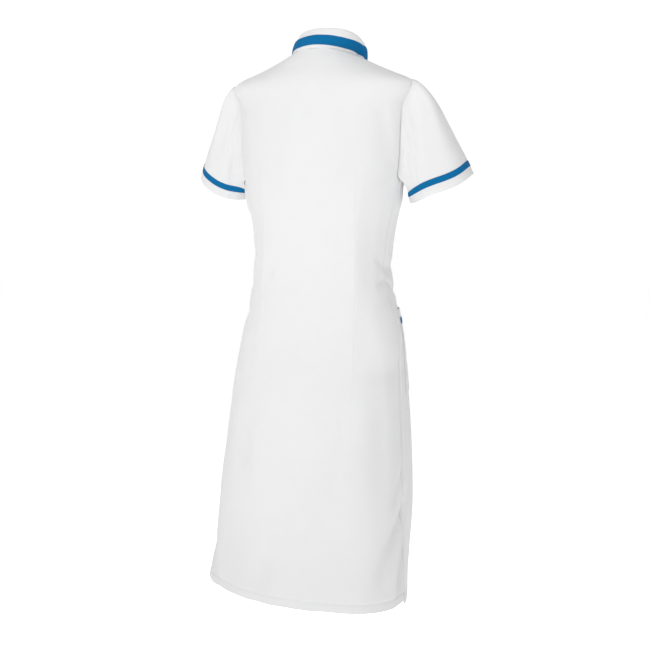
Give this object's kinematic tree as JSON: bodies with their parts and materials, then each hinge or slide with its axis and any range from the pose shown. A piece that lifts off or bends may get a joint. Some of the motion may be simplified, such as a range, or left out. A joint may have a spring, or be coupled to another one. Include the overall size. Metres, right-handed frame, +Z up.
{
  "type": "short-sleeved nurse's dress",
  "caption": "Knee-length nurse's uniform dress, hollow as when worn, with short sleeves, buttoned front, turned-down collar, patch pockets and blue bands.",
  "frame": {"origin": "in the middle of the neck, level with the points where the shoulder seams meet the collar", "axes": "+Z up, -Y the way the front faces, +X towards the wearer's left"},
  "size_m": [0.5745, 0.3208, 1.1],
  "materials": {
    "white_cloth": "matt polyester and cotton twill",
    "blue_band": "matt woven band, blue",
    "button_plastic": "satin white"
  },
  "bodies": {
    "root": {"back": "white_cloth", "front_left": "white_cloth", "front_right": "white_cloth", "sleeve_left": "white_cloth", "sleeve_right": "white_cloth", "collar_stand": "white_cloth", "collar_leaf": "white_cloth", "pocket_left": "white_cloth", "pocket_right": "white_cloth", "collar_band": "blue_band", "sleeve_band_left": "blue_band", "sleeve_band_right": "blue_band", "pocket_band_left": "blue_band", "pocket_band_right": "blue_band", "button_1": "button_plastic", "button_2": "button_plastic", "button_3": "button_plastic", "button_4": "button_plastic", "button_5": "button_plastic", "button_6": "button_plastic", "button_7": "button_plastic", "button_8": "button_plastic"}
  },
  "joints": []
}
